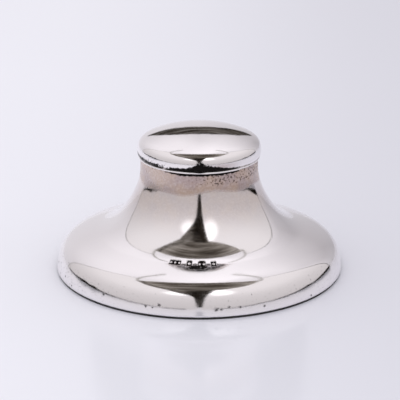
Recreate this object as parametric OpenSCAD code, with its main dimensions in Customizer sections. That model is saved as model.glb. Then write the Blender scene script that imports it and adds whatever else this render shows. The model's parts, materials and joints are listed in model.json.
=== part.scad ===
// Capstan inkwell: a loaded silver body, a glass liner and a domed lid on a five-tube hinge.
// Origin: the centre of the underside. +Z is up and the hinge is at +Y.

/* [Foot and body] */
// Diameter across the foot
foot_d = 115; // [112:0.5:118]
// Lean of the foot's wall at its lower edge, in degrees from upright
foot_lean = 6.4; // [4:0.2:8]
// Radius at which the foot's round shoulder meets the hollow sweep of the body
shoulder_r = 41.9; // [40:0.1:44]
// Height of that meeting line
shoulder_z = 16; // [15.5:0.1:17.5]
// Slope of the metal at that line, in degrees
shoulder_slope = 18.5; // [16:0.5:20]
// Diameter of the straight neck
neck_d = 46.8; // [46.4:0.2:47.4]
// Height at which the sweep runs out into the straight neck
neck_z = 42.3; // [41:0.1:43]
// Height of the neck's top edge
mouth_z = 47.4; // [47.2:0.1:47.6]
// Thickness of the silver sheet
sheet_t = 0.7; // [0.5:0.05:0.8]
// Radius of the half-round wire at the mouth
mouth_wire_r = 0.42; // [0.35:0.01:0.44]

/* [Base] */
// Thickness of the leather pad under the base
pad_t = 1; // [0.8:0.1:1.4]
// Thickness of the wooden board
board_t = 4; // [3:0.5:6]
// Height of the wire inside the foot's edge
foot_wire_h = 1.6; // [1.2:0.1:2]
// Thickness of the wire inside the foot's edge
foot_wire_t = 0.9; // [0.8:0.1:1.2]
// Height of the top of the plaster loading
loading_z = 42; // [30:1:43]

/* [Well] */
// Inner diameter of the well's brass tube
well_d = 34.8; // [33:0.2:36]
// Wall thickness of the well's brass tube and its floor
well_t = 0.6; // [0.4:0.1:0.8]
// Height of the collar's top face, on which the glass hangs
collar_z = 45.7; // [45.5:0.05:45.8]

/* [Glass liner] */
// Diameter of the liner's flange
flange_d = 42; // [40:0.5:42.5]
// Thickness of the liner's flange
flange_t = 1.6; // [1.2:0.1:1.7]
// Diameter of the liner's mouth
liner_mouth_d = 28; // [25:0.5:29]
// Depth of the liner below its flange's underside
liner_depth = 38; // [34:0.5:39]
// Thickness of the liner's bottom
liner_bottom_t = 4; // [3:0.5:6]
// How much narrower the liner's body is at its bottom than at its top
liner_taper = 1.2; // [0.6:0.1:2]

/* [Lid] */
// Diameter across the lid's widest line
lid_d = 49.2; // [49:0.1:49.8]
// Height of the lid's widest line above its lower edge
lid_wide_h = 1.4; // [1.2:0.1:2.4]
// How far the lid's lower edge turns in under its widest line
lid_turn_in = 0.5; // [0.3:0.1:0.6]
// Radius at which the lid's round shoulder meets its shallow dome
lid_dome_edge_r = 20.4; // [19:0.1:21]
// Height of that meeting line above the lid's lower edge
lid_dome_edge_h = 7.5; // [6.5:0.1:8]
// Height of the lid's top above its lower edge
lid_h = 11.6; // [11:0.1:12.5]
// How far the lid's bezel reaches down into the mouth
bezel_drop = 1.2; // [0.8:0.1:1.3]

/* [Hinge] */
// Length of the five tubes along the hinge's axis
hinge_len = 16.2; // [14:0.2:18]
// Outer diameter of the hinge's tubes
tube_d = 3; // [2.8:0.05:3.1]
// Diameter of the hinge's pin
pin_d = 1.4; // [1.2:0.1:1.6]
// Radial clearance of the pin in the lid's tubes
pin_clearance = 0.03; // [0.02:0.01:0.06]
// Gap between the ends of neighbouring tubes
tube_gap = 0.1; // [0.05:0.05:0.2]

/* [Hidden] */
$fn = 96;
STEPS = 14;                          // straight pieces in each curved stretch of an outline
LID_GAP = 0.1;                       // between the lid's lower edge and the mouth
foot_r = foot_d / 2;
neck_r = neck_d / 2;
lean_dir = [-sin(foot_lean), cos(foot_lean)];
shoulder_dir = [-cos(shoulder_slope), sin(shoulder_slope)];
pull_foot = [10.3, 12];              // the reach of each curve's handles at its two ends
pull_sweep = [11.4, 9];
pull_lid = [3, 4.1];
board_z = pad_t + board_t;
board_r = foot_r - sheet_t - foot_wire_t;
pad_inset = 0.35;
well_r = well_d / 2;
lid_r = lid_d / 2;
lid_z = mouth_z + LID_GAP;
bezel_r = neck_r - sheet_t - 0.4;    // a loose fit in the mouth, so that it swings clear
bezel_t = 0.7;
bezel_top_z = lid_z + 1.5;
bezel_flange_t = 0.6;
lining_t = 0.5;
lining_rise = 1.5;
lining_z = lid_z + 1;                // the rim of the lining's underside
hinge_y = neck_r + 2.75;
hinge_z = lid_z;
strap_t = 1.6;
body_strap_z = [43.2, hinge_z - 1.8];
lid_strap_z = [hinge_z + 1.9, hinge_z + 4];
tube_count = 5;
tube_pitch = (hinge_len + tube_gap) / tube_count;
FAR = 80;                            // larger than the object is wide

// ---- curves -------------------------------------------------------------------------------

// A point of the cubic curve from a to d with the handles b and c
function bezier(a, b, c, d, t) =
    pow(1 - t, 3) * a + 3 * pow(1 - t, 2) * t * b + 3 * (1 - t) * t * t * c + pow(t, 3) * d;

// The points of that curve, without its first one
function curve(a, b, c, d) = [for (i = [1:STEPS]) bezier(a, b, c, d, i / STEPS)];

// The points of a circle's arc from one angle to another, without its first one
function arc(centre, r, from, to) =
    [for (i = [1:STEPS]) let (a = from + (to - from) * i / STEPS) centre + r * [cos(a), sin(a)]];

function unit(v) = v / norm(v);

// An outline moved sideways by t, to its left as it runs, and never past the axis. Its first
// point moves level, so that the edge of a sheet is flat.
function moved(points, t) = [
    for (i = [0:len(points) - 1])
        let (
            next = points[min(i + 1, len(points) - 1)],
            along = i == 0 ? [0, 1] : unit(next - points[i - 1]),
            point = points[i] + t * [-along[1], along[0]]
        )
        [max(point[0], 0), point[1]]
];

function reversed(points) = [for (i = [len(points) - 1:-1:0]) points[i]];

// The body's outline from the foot's lower edge up to the mouth, as [radius, height]
function body_outline() =
    let (
        low = [foot_r, pad_t],
        shoulder = [shoulder_r, shoulder_z],
        neck = [neck_r, neck_z]
    )
    concat(
        [low],
        curve(low, low + pull_foot[0] * lean_dir, shoulder - pull_foot[1] * shoulder_dir, shoulder),
        curve(shoulder, shoulder + pull_sweep[0] * shoulder_dir, neck - [0, pull_sweep[1]], neck),
        [[neck_r, mouth_z]]
    );

// The lid's outline from its lower edge up to the middle of its top. The dome is an arc, and
// the shoulder's curve meets it without a corner.
dome_edge = [lid_dome_edge_r, lid_z + lid_dome_edge_h];
dome_rise = lid_h - lid_dome_edge_h;
dome_r = (pow(lid_dome_edge_r, 2) + pow(dome_rise, 2)) / (2 * dome_rise);
dome_centre = [0, lid_z + lid_h - dome_r];
dome_slope = asin(lid_dome_edge_r / dome_r);
dome_dir = [-cos(dome_slope), sin(dome_slope)];

function lid_outline() =
    let (low = [lid_r - lid_turn_in, lid_z], wide = [lid_r, lid_z + lid_wide_h])
    concat(
        [low],
        curve(low, low + [0.3, 0.4], wide - [0, 0.6], wide),
        curve(wide, wide + [0, pull_lid[0]], dome_edge - pull_lid[1] * dome_dir, dome_edge),
        arc(dome_centre, dome_r, 90 - dome_slope, 90)
    );

// ---- flat shapes that are turned about the axis ---------------------------------------------

// A band between two radii and two heights
module band(r, z) {
    translate([r[0], z[0]])
        square([r[1] - r[0], z[1] - z[0]]);
}

// A sheet of metal that follows an outline on its inner side
module sheet(outline) {
    polygon(concat(outline, reversed(moved(outline, sheet_t))));
}

// The space inside the body's sheet
module body_inside() {
    inner = moved(body_outline(), sheet_t);
    polygon(concat(inner, [[0, inner[len(inner) - 1][1]], [0, inner[0][1]]]));
}

// Everything inside the lid's outer surface
module lid_solid() {
    polygon(concat(lid_outline(), [[0, lid_z]]));
}

module lid_inside() {
    inner = moved(lid_outline(), sheet_t);
    polygon(concat(inner, [[0, inner[0][1]]]));
}

module turned() {
    rotate_extrude()
        children();
}

// ---- body -----------------------------------------------------------------------------------

module body_shell() {
    color("silver")
        turned()
            sheet(body_outline());
}

module foot_wire() {
    color("silver")
        turned()
            intersection() {
                body_inside();
                band([board_r, foot_r], [pad_t, pad_t + foot_wire_h]);
            }
}

module mouth_rim() {
    color("silver")
        turned()
            difference() {
                translate([neck_r + mouth_wire_r - 0.03, mouth_z - mouth_wire_r])
                    circle(mouth_wire_r);
                band([0, neck_r], [0, FAR]);
            }
}

module well_collar() {
    color("silver")
        turned()
            band([well_r, neck_r - sheet_t], [collar_z - sheet_t, collar_z]);
}

module well_tube() {
    color("goldenrod")
        turned()
            band([well_r, well_r + well_t], [board_z + well_t, collar_z - sheet_t]);
}

module well_floor() {
    color("goldenrod")
        translate([0, 0, board_z])
            cylinder(h = well_t, r = well_r + well_t);
}

module loading() {
    color("gainsboro")
        turned()
            difference() {
                intersection() {
                    body_inside();
                    band([well_r + well_t, foot_r], [pad_t + foot_wire_h, loading_z]);
                }
                band([0, board_r], [0, board_z]);
            }
}

module base_board() {
    color("sienna")
        translate([0, 0, pad_t])
            cylinder(h = board_t, r = board_r);
}

module base_pad() {
    color("dimgray")
        cylinder(h = pad_t, r = foot_r - pad_inset);
}

// ---- glass ----------------------------------------------------------------------------------

liner_r = well_r - 0.5;
liner_low_z = collar_z - liner_depth;
cavity_low_z = liner_low_z + liner_bottom_t;
flange_z = collar_z + flange_t;

module glass_liner() {
    mouth_r = liner_mouth_d / 2;
    corner_r = 4;
    corner_x = mouth_r - liner_taper - corner_r;
    color("lightcyan", 0.5)
        turned()
            difference() {
                union() {
                    polygon([
                        [0, liner_low_z], [liner_r - liner_taper, liner_low_z],
                        [liner_r, collar_z], [0, collar_z]
                    ]);
                    band([0, flange_d / 2], [collar_z, flange_z]);
                }
                // the cavity: straight walls that run into a round-cornered bottom
                polygon(concat(
                    [[0, flange_z + 1], [0, cavity_low_z], [corner_x, cavity_low_z]],
                    arc([corner_x, cavity_low_z + corner_r], corner_r, -90, 0),
                    [[mouth_r, flange_z], [mouth_r, flange_z + 1]]
                ));
            }
}

// ---- lid ------------------------------------------------------------------------------------

module lid_cap() {
    color("silver")
        turned()
            sheet(lid_outline());
}

module lid_bezel() {
    color("silver")
        turned() {
            band([bezel_r - bezel_t, bezel_r], [lid_z - bezel_drop, bezel_top_z]);
            intersection() {
                lid_inside();
                band([bezel_r - bezel_t / 2, lid_r], [lid_z, lid_z + bezel_flange_t]);
            }
        }
}

// A shallow dish, hollow side down: the height of its underside is a formula of the radius
function lining_height(r) = lining_z + lining_rise * (1 - pow(r / (bezel_r - bezel_t), 2));

module lid_lining() {
    r = bezel_r - bezel_t;
    under = [for (i = [0:STEPS]) [r * i / STEPS, lining_height(r * i / STEPS)]];
    color("silver")
        turned()
            polygon(concat(under, reversed([for (p = under) p + [0, lining_t]])));
}

// ---- hinge ----------------------------------------------------------------------------------

// A block that runs along the hinge's axis, between two depths and two heights
module bar(length, y, z) {
    translate([-length / 2, y[0], z[0]])
        cube([length, y[1] - y[0], z[1] - z[0]]);
}

module rod(length, r) {
    rotate([0, 90, 0])
        cylinder(h = length, r = r, center = true);
}

// One tube with the tongue that joins it to its strap
module knuckle(place, bore_r, tongue_y, tongue_z) {
    length = tube_pitch - tube_gap;
    translate([(place - (tube_count - 1) / 2) * tube_pitch, 0, 0])
        difference() {
            union() {
                translate([0, hinge_y, hinge_z])
                    rod(length, tube_d / 2);
                bar(length, tongue_y, tongue_z);
            }
            translate([0, hinge_y, hinge_z])
                rod(length + 1, bore_r);
        }
}

module hinge_body_plate() {
    color("silver")
        difference() {
            bar(hinge_len, [neck_r - 3, neck_r + strap_t], body_strap_z);
            cylinder(h = FAR, r = neck_r);
        }
}

module hinge_body_knuckles() {
    color("silver")
        for (place = [0:2:tube_count - 1])
            knuckle(place, pin_d / 2, [hinge_y - tube_d / 2, hinge_y], [body_strap_z[1], hinge_z]);
}

module hinge_lid_plate() {
    color("silver")
        difference() {
            bar(hinge_len, [lid_r - 3, hinge_y - 0.15], lid_strap_z);
            turned()
                lid_solid();
        }
}

module hinge_lid_knuckles() {
    color("silver")
        for (place = [1:2:tube_count - 2])
            knuckle(place, pin_d / 2 + pin_clearance, [lid_r + 0.15, hinge_y], [hinge_z, lid_strap_z[0]]);
}

module hinge_pin() {
    color("lightgray")
        translate([0, hinge_y, hinge_z])
            rod(hinge_len + 0.4, pin_d / 2);
}

body_shell();
foot_wire();
mouth_rim();
well_collar();
well_tube();
well_floor();
loading();
base_board();
base_pad();
glass_liner();
lid_cap();
lid_bezel();
lid_lining();
hinge_body_plate();
hinge_body_knuckles();
hinge_lid_plate();
hinge_lid_knuckles();
hinge_pin();
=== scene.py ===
"""A sterling silver capstan inkwell: its skins, fittings, glass and finishes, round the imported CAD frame."""

import json
import math

import bpy
import numpy as np
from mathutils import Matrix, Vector, noise


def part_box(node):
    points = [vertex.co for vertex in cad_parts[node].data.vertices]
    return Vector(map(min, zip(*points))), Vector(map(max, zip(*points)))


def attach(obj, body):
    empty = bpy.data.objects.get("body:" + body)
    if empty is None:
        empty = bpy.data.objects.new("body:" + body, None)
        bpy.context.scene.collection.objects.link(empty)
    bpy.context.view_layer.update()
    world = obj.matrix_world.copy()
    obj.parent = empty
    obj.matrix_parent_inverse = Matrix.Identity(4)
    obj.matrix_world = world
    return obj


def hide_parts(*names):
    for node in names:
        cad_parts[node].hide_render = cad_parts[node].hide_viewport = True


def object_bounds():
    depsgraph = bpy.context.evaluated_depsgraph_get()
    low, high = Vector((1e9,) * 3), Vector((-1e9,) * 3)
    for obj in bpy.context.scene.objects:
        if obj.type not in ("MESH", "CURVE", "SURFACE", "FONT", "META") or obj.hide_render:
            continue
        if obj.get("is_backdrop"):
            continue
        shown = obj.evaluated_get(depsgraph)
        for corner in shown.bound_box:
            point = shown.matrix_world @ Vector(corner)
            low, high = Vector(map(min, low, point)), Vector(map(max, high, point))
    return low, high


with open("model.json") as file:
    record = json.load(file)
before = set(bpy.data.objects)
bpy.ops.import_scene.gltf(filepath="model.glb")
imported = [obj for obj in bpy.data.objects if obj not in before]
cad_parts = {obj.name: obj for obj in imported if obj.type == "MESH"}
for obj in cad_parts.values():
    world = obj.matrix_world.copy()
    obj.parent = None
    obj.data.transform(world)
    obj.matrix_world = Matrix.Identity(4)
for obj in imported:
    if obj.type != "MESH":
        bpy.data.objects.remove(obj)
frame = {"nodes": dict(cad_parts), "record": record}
CAD_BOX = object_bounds()

bl_info = {
    "name": "Capstan Inkwell",
    "version": (1, 0, 0),
    "blender": (4, 5, 0),
    "location": "3D View > Sidebar > Inkwell",
    "description": "Builds a silver capstan inkwell and the studio it stands in",
    "category": "Add Mesh",
}

MM = 0.001
UP = np.array((0.0, 1.0))  # in an outline, [radius, height]


def low(node):
    """The lowest corner of a CAD node, in millimetres."""
    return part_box(node)[0] / MM


def high(node):
    """The highest corner of a CAD node, in millimetres."""
    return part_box(node)[1] / MM


# ---- what a user would change ---------------------------------------------------------------


def length(name, description, default):
    """A size given in millimetres, and stored in metres."""
    return bpy.props.FloatProperty(
        name=name, description=description, default=default * MM, unit="LENGTH", precision=5
    )


def angle(name, description, default):
    """An angle given in degrees, and stored in radians."""
    return bpy.props.FloatProperty(
        name=name, description=description, default=math.radians(default), subtype="ANGLE"
    )


def share(name, description, default):
    """A number from 0 to 1."""
    return bpy.props.FloatProperty(
        name=name, description=description, default=default, min=0, max=1, subtype="FACTOR"
    )


def linear(code):
    """An sRGB hex colour as linear red, green and blue."""
    parts = [int(code[i : i + 2], 16) / 255 for i in (1, 3, 5)]
    return tuple(c / 12.92 if c <= 0.04045 else ((c + 0.055) / 1.055) ** 2.4 for c in parts)


def colour(name, description, code):
    """A colour whose default is given as sRGB hex."""
    return bpy.props.FloatVectorProperty(
        name=name, description=description, default=linear(code), size=3, subtype="COLOR", min=0, max=1
    )


class InkwellShape(bpy.types.PropertyGroup):
    """The outline of the body and the lid, which is the CAD's, and the marks of hand work in it."""

    foot_lean: angle("Foot lean", "Lean of the foot's wall at its lower edge", 6.4)
    shoulder_radius: length("Shoulder radius", "Where the foot's round shoulder meets the sweep", 41.9)
    shoulder_height: length("Shoulder height", "Height of that line", 16)
    shoulder_slope: angle("Shoulder slope", "Slope of the metal at that line", 18.5)
    neck_height: length("Neck height", "Where the sweep runs out into the straight neck", 42.3)
    sheet: length("Sheet", "Thickness of the silver sheet", 0.7)
    wire: length("Mouth wire", "Radius of the half-round wire at the mouth", 0.42)
    lid_wide_height: length("Lid width line", "Height of the lid's widest line above its edge", 1.4)
    lid_turn_in: length("Lid turn-in", "How far the lid's edge turns in", 0.5)
    dome_radius: length("Dome edge radius", "Where the lid's shoulder meets its dome", 20.4)
    dome_height: length("Dome edge height", "Height of that line above the lid's edge", 7.5)
    edge_round: length("Edge rounding", "Rounding of the sheet's edges", 0.25)
    planish: length("Planishing", "Depth of the wide, faint hollows that the hammer left", 0.022)
    dents: length("Small dents", "Depth of the small dents that use left", 0.004)
    punch_depth: length("Punch depth", "Depth of the small punch marks", 0.16)


class InkwellFinish(bpy.types.PropertyGroup):
    """Colours and polish of the metals, glass, leather, wood and plaster."""

    silver: colour("Silver", "Clean polished sterling silver", "#fbf8f9")
    film: colour("Film", "The brown film of tarnish on the neck", "#b5a19c")
    gold_film: colour("Thin film", "The same film where it is thinner and more golden", "#c4ac9b")
    # this colour is also used for painted shade on the lid's front edge and a painted reflection of shade
    # below the punch marks
    sulphide_and_shade: colour("Sulphide", "Black tarnish in crevices and pits", "#1d1b1a")
    polish: share("Polish", "Roughness of the hand-polished silver", 0.05)
    satin: share("Satin", "Roughness of the silver inside, which is never polished", 0.22)
    brass: colour("Brass", "Drawn brass, darkened with age", "#a9854a")
    leather: colour("Leather", "Dyed skiver under the base", "#120f10")
    wood: colour("Wood", "Beech board inside the base", "#b08a5e")
    wood_dark: colour("Wood rays", "The darker flecks of beech", "#7d5632")
    plaster: colour("Plaster", "Cast plaster", "#d9d4c8")
    glass: colour("Glass", "The faint tint of the moulded glass", "#f1f8f5")


class InkwellStage(bpy.types.PropertyGroup):
    """The camera and the studio."""

    distance: length("Camera distance", "From the lens to the inkwell", 750)
    lens: bpy.props.FloatProperty(name="Lens", description="Focal length in millimetres", default=168.4)
    elevation: angle("Camera elevation", "How far the camera looks down", 19.28)
    aim_side: length("Aim to the side", "Where the camera is aimed, along X", 0.3)
    aim_height: length("Aim height", "Where the camera is aimed, above the table", 27.8)
    # one acrylic sheet: the darker colour is painted shade on the table's +X side
    table_lit_side: colour("Table, left", "Gloss acrylic table, on its brighter side", "#f3f1f9")
    table_shaded_side: colour("Table, right", "Gloss acrylic table, on its darker side", "#dfdde6")
    table_radius: length("Table radius", "Radius of the table", 3000)


# ---- outlines, as [radius, height] in millimetres ---------------------------------------------


def bezier(a, b, c, d, steps=200):
    """The points of a cubic curve, without its first one."""
    t = np.linspace(0, 1, steps + 1)[1:, None]
    return (1 - t) ** 3 * a + 3 * (1 - t) ** 2 * t * b + 3 * (1 - t) * t * t * c + t**3 * d


def arc(centre, radius, start, stop, steps=24):
    """The points of a circle's arc between two angles in degrees."""
    angles = np.radians(np.linspace(start, stop, steps + 1))
    return np.array(centre) + radius * np.stack((np.cos(angles), np.sin(angles)), axis=1)


def leaning(lean):
    """A unit step that goes up, and leans towards the axis by an angle in radians."""
    return np.array((-math.sin(lean), math.cos(lean)))


def body_outline(shape):
    """The body's outer outline, from the foot's lower edge up to the mouth."""
    foot = np.array((high("body_shell").x, low("body_shell").z))
    shoulder = np.array((shape.shoulder_radius, shape.shoulder_height)) / MM
    neck_radius = high("well_collar").x + shape.sheet / MM
    neck = np.array((neck_radius, shape.neck_height / MM))
    mouth = np.array((neck_radius, high("body_shell").z))
    along = leaning(math.pi / 2 - shape.shoulder_slope)
    foot_pull, shoulder_pull, sweep_pull, neck_pull = 10.3, 12, 11.4, 9  # reach of the curves' handles
    up_the_foot = foot_pull * leaning(shape.foot_lean)
    wall = bezier(foot, foot + up_the_foot, shoulder - shoulder_pull * along, shoulder)
    sweep = bezier(shoulder, shoulder + sweep_pull * along, neck - neck_pull * UP, neck)
    return np.vstack((foot, wall, sweep, mouth))


def lid_outline(shape):
    """The lid's outer outline, from its lower edge up to the middle of its top."""
    radius, edge_height, top = high("lid_cap").x, low("lid_cap").z, high("lid_cap").z
    edge = np.array((radius - shape.lid_turn_in / MM, edge_height))
    wide = np.array((radius, edge_height + shape.lid_wide_height / MM))
    join = np.array((shape.dome_radius / MM, edge_height + shape.dome_height / MM))
    rise = top - join[1]
    dome_radius = (join[0] ** 2 + rise**2) / (2 * rise)
    slope = math.asin(join[0] / dome_radius)
    side_pull, dome_pull = 3, 4.1
    lip = bezier(edge, edge + (0.3, 0.4), wide - 0.6 * UP, wide)
    side = bezier(wide, wide + side_pull * UP, join - dome_pull * leaning(math.pi / 2 - slope), join)
    dome = arc((0, top - dome_radius), dome_radius, 90 - math.degrees(slope), 90, 200)
    return np.vstack((edge, lip, side, dome[1:]))


def lengths_along(points):
    """How far along an outline each of its points is."""
    steps = np.hypot(*np.diff(points, axis=0).T)
    return np.concatenate(([0], np.cumsum(steps)))


def resampled(points, spacing, fine=None, fine_spacing=0.12):
    """An outline with evenly spaced points, closer together within fine, a range of lengths along it."""
    along = lengths_along(points)
    stops = [0.0]
    while stops[-1] < along[-1]:
        inside = fine is not None and fine[0] <= stops[-1] <= fine[1]
        stops.append(stops[-1] + (fine_spacing if inside else spacing))
    stops = np.array(stops[:-1] + [along[-1]])
    return np.stack([np.interp(stops, along, points[:, k]) for k in (0, 1)], axis=1)


def outward(points):
    """The unit normals of an outline, on its right as it runs."""
    along = np.gradient(points, axis=0)
    along /= np.hypot(*along.T)[:, None]
    return np.stack((along[:, 1], -along[:, 0]), axis=1)


def sheet_section(outer, thickness, rounding):
    """The closed section of a sheet whose outer side is an outline, with both edges rounded. It starts with
    the outline itself."""
    inner = outer - thickness * outward(outer)
    inner[:, 0] = np.maximum(inner[:, 0], 0)
    inner[0, 1] = outer[0, 1]
    inner = inner[::-1]
    if outer[-1][0] > 1:
        middle = (outer[-1] + inner[0]) / 2
        outer, inner = outer[:-1], inner[1:]
        top = arc(middle - rounding * UP, rounding, 60, 120, 4)
        inner = np.vstack((top, inner))
    return np.vstack((outer, inner))


# ---- meshes -----------------------------------------------------------------------------------


def make_object(name, vertices, faces, smooth=True):
    """A mesh object from vertices in millimetres."""
    mesh = bpy.data.meshes.new(name)
    mesh.from_pydata((np.asarray(vertices) * MM).tolist(), [], faces)
    mesh.validate()
    if smooth:
        mesh.shade_smooth()
    made = bpy.data.objects.new(name, mesh)
    bpy.context.collection.objects.link(made)
    return made


def loft(name, loops, closed=True, capped=False):
    """A skin over loops of points. A loop of one point is a pole. closed joins the last loop to the first."""
    starts = np.concatenate(([0], np.cumsum([len(loop) for loop in loops])))
    size = max(len(loop) for loop in loops)
    ring = [[start + j % len(loop) for j in range(size)] for start, loop in zip(starts.tolist(), loops)]
    faces = []
    for i in range(len(loops) if closed else len(loops) - 1):
        a, b = ring[i], ring[(i + 1) % len(loops)]
        if a[0] == a[-1] and b[0] == b[-1]:
            continue
        for j in range(size):
            k = (j + 1) % size
            corners = [a[j], a[k], b[k], b[j]]
            faces.append([v for n, v in enumerate(corners) if v != corners[n - 1]])
    if capped:
        faces += [ring[0][::-1], ring[-1]]
    return make_object(name, np.vstack(loops), faces)


def lathe(name, outline, turns=160, closed=True, relief=None):
    """Turns an outline about the axis. turns is a number of equal steps, or the list of their angles, where
    0 is the front and a quarter turn is +X. relief(along, angles) gives how far each point of the outline is
    pushed out along its normal."""
    outline = np.array(outline, dtype=float)
    angles = np.linspace(-math.pi, math.pi, turns, endpoint=False) if isinstance(turns, int) else turns
    push = 0
    if relief is not None:
        push = relief(outline, angles)[..., None] * outward(outline)[:, None, :]
    rows = outline[:, None, :] + push + np.zeros((1, len(angles), 1))
    grid = np.stack((rows[..., 0] * np.sin(angles), -rows[..., 0] * np.cos(angles), rows[..., 1]), axis=-1)
    loops = [row[:1] if outline[i][0] < 1e-6 else row for i, row in enumerate(grid)]
    return loft(name, loops, closed)


def rounded(corners, radius, steps=4):
    """A closed outline of [radius, height] corners, each rounded by up to a radius."""
    points = []
    count = len(corners)
    for i, corner in enumerate(np.array(corners, dtype=float)):
        if corner[0] < 1e-6:
            points.append(corner)
            continue
        before, after = np.array(corners[i - 1]) - corner, np.array(corners[(i + 1) % count]) - corner
        reach = min(radius, np.hypot(*before) / 2.01, np.hypot(*after) / 2.01)
        start = corner + before / np.hypot(*before) * reach
        stop = corner + after / np.hypot(*after) * reach
        for t in np.linspace(0, 1, steps + 1):
            points.append((1 - t) ** 2 * start + 2 * t * (1 - t) * corner + t * t * stop)
    return np.array(points)


def band(name, node, inner, rounding, turns):
    """A ring of plain section that fills a node's box out from an inner radius, or a disc if that is 0."""
    a, b = low(node), high(node)
    corners = [(inner, a.z), (b.x, a.z), (b.x, b.z), (inner, b.z)]
    return lathe(name, rounded(corners, rounding), turns)


def soften(piece, width, segments=3):
    """Rounds a piece's sharp edges by a width in millimetres."""
    bevel = piece.modifiers.new("edges", "BEVEL")
    bevel.width = width * MM
    bevel.segments = segments
    bevel.limit_method = "ANGLE"
    bevel.angle_limit = math.radians(40)
    bevel.harden_normals = True
    return piece


def stain_and_shade(piece, name, amount):
    """Stores how much of a tarnish each vertex has; the black attribute also holds painted shade. amount(x, y,
    z) takes millimetres.
    """
    mesh = piece.data
    places = np.empty(len(mesh.vertices) * 3)
    mesh.vertices.foreach_get("co", places)
    x, y, z = places.reshape(-1, 3).T / MM
    layer = mesh.attributes.new(name, "FLOAT", "POINT")
    layer.data.foreach_set("value", np.clip(amount(x, y, z), 0, 1).astype(np.float32))


def dress(piece, body, material, slot, *nodes):
    """Gives a piece its material and its body, and hides the CAD nodes that it stands for. slot is not used.
    """
    piece.data.materials.append(material)
    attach(piece, body)
    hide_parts(*nodes)
    return piece


def smooth_step(value, start, stop):
    t = np.clip((value - start) / (stop - start), 0, 1)
    return t * t * (3 - 2 * t)


def soft_noise(places, size):
    """Noise between about -1 and 1 at places in millimetres, with features of one size."""
    flat = (places / size).reshape(-1, 3)
    values = [noise.noise(point) for point in flat]
    return np.array(values).reshape(places.shape[:-1])


def hand_work(outline, angles, shape, planish_size=13, dent_size=3.2):
    """The wide hollows of planishing and the small dents of use, over a turned outline."""
    radius, height = outline[:, :1], outline[:, 1:]
    grid = np.stack((radius * np.sin(angles), -radius * np.cos(angles), height + 0 * angles), axis=-1)
    wide = soft_noise(grid, planish_size)
    small = soft_noise(grid + 40, dent_size)
    return shape.planish / MM * wide + shape.dents / MM * small


# ---- materials --------------------------------------------------------------------------------


def fill(tree, node, inputs):
    """Fills or links a node's inputs, which are named or numbered. A node given as an input stands for its
    first output in use."""
    for key, value in inputs.items():
        if isinstance(value, bpy.types.Node):
            value = next(socket for socket in value.outputs if socket.enabled)
        if isinstance(value, bpy.types.NodeSocket):
            tree.links.new(value, node.inputs[key])
        else:
            node.inputs[key].default_value = value


def add(tree, kind, inputs=None, **settings):
    """Adds one node with its settings and links."""
    made = tree.nodes.new(kind)
    for key, value in settings.items():
        setattr(made, key, value)
    fill(tree, made, inputs or {})
    return made


def new_material(name):
    """An empty material, its node tree, its surface shader and the place on the object."""
    material = bpy.data.materials.new(name)
    material.use_nodes = True
    tree = material.node_tree
    return material, tree, tree.nodes["Principled BSDF"], add(tree, "ShaderNodeTexCoord").outputs["Object"]


def per_mm(size):
    """The texture scale at which a pattern's features are that many millimetres across."""
    return 1 / (size * MM)


def rgba(tone, strength=1.0):
    """A colour for a node, made darker or lighter."""
    return (*(min(1.0, strength * part) for part in tone), 1)


RGBA = {"data_type": "RGBA"}  # a Mix node's factor is then its input 0, and its colours are 6 and 7
SMOOTH = {"interpolation_type": "SMOOTHSTEP"}
# the noises in hand-polished silver: size in millimetres, detail, roughness and stretch
SILVER_NOISES = {
    "grain": (0.75, 3, 0.65, (1, 1, 1)),
    "cloud": (6, 2, 0.5, (1, 1, 1)),
    "ragged": (1.1, 4, 0.7, (1, 1, 1)),
    "bloom": (4, 4, 0.6, (1, 1, 1)),
    "rubbing": (0.5, 3, 0.6, (1, 1, 4)),
}
BLOOM = 0.06  # how much rougher the rubbed patches are


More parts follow.
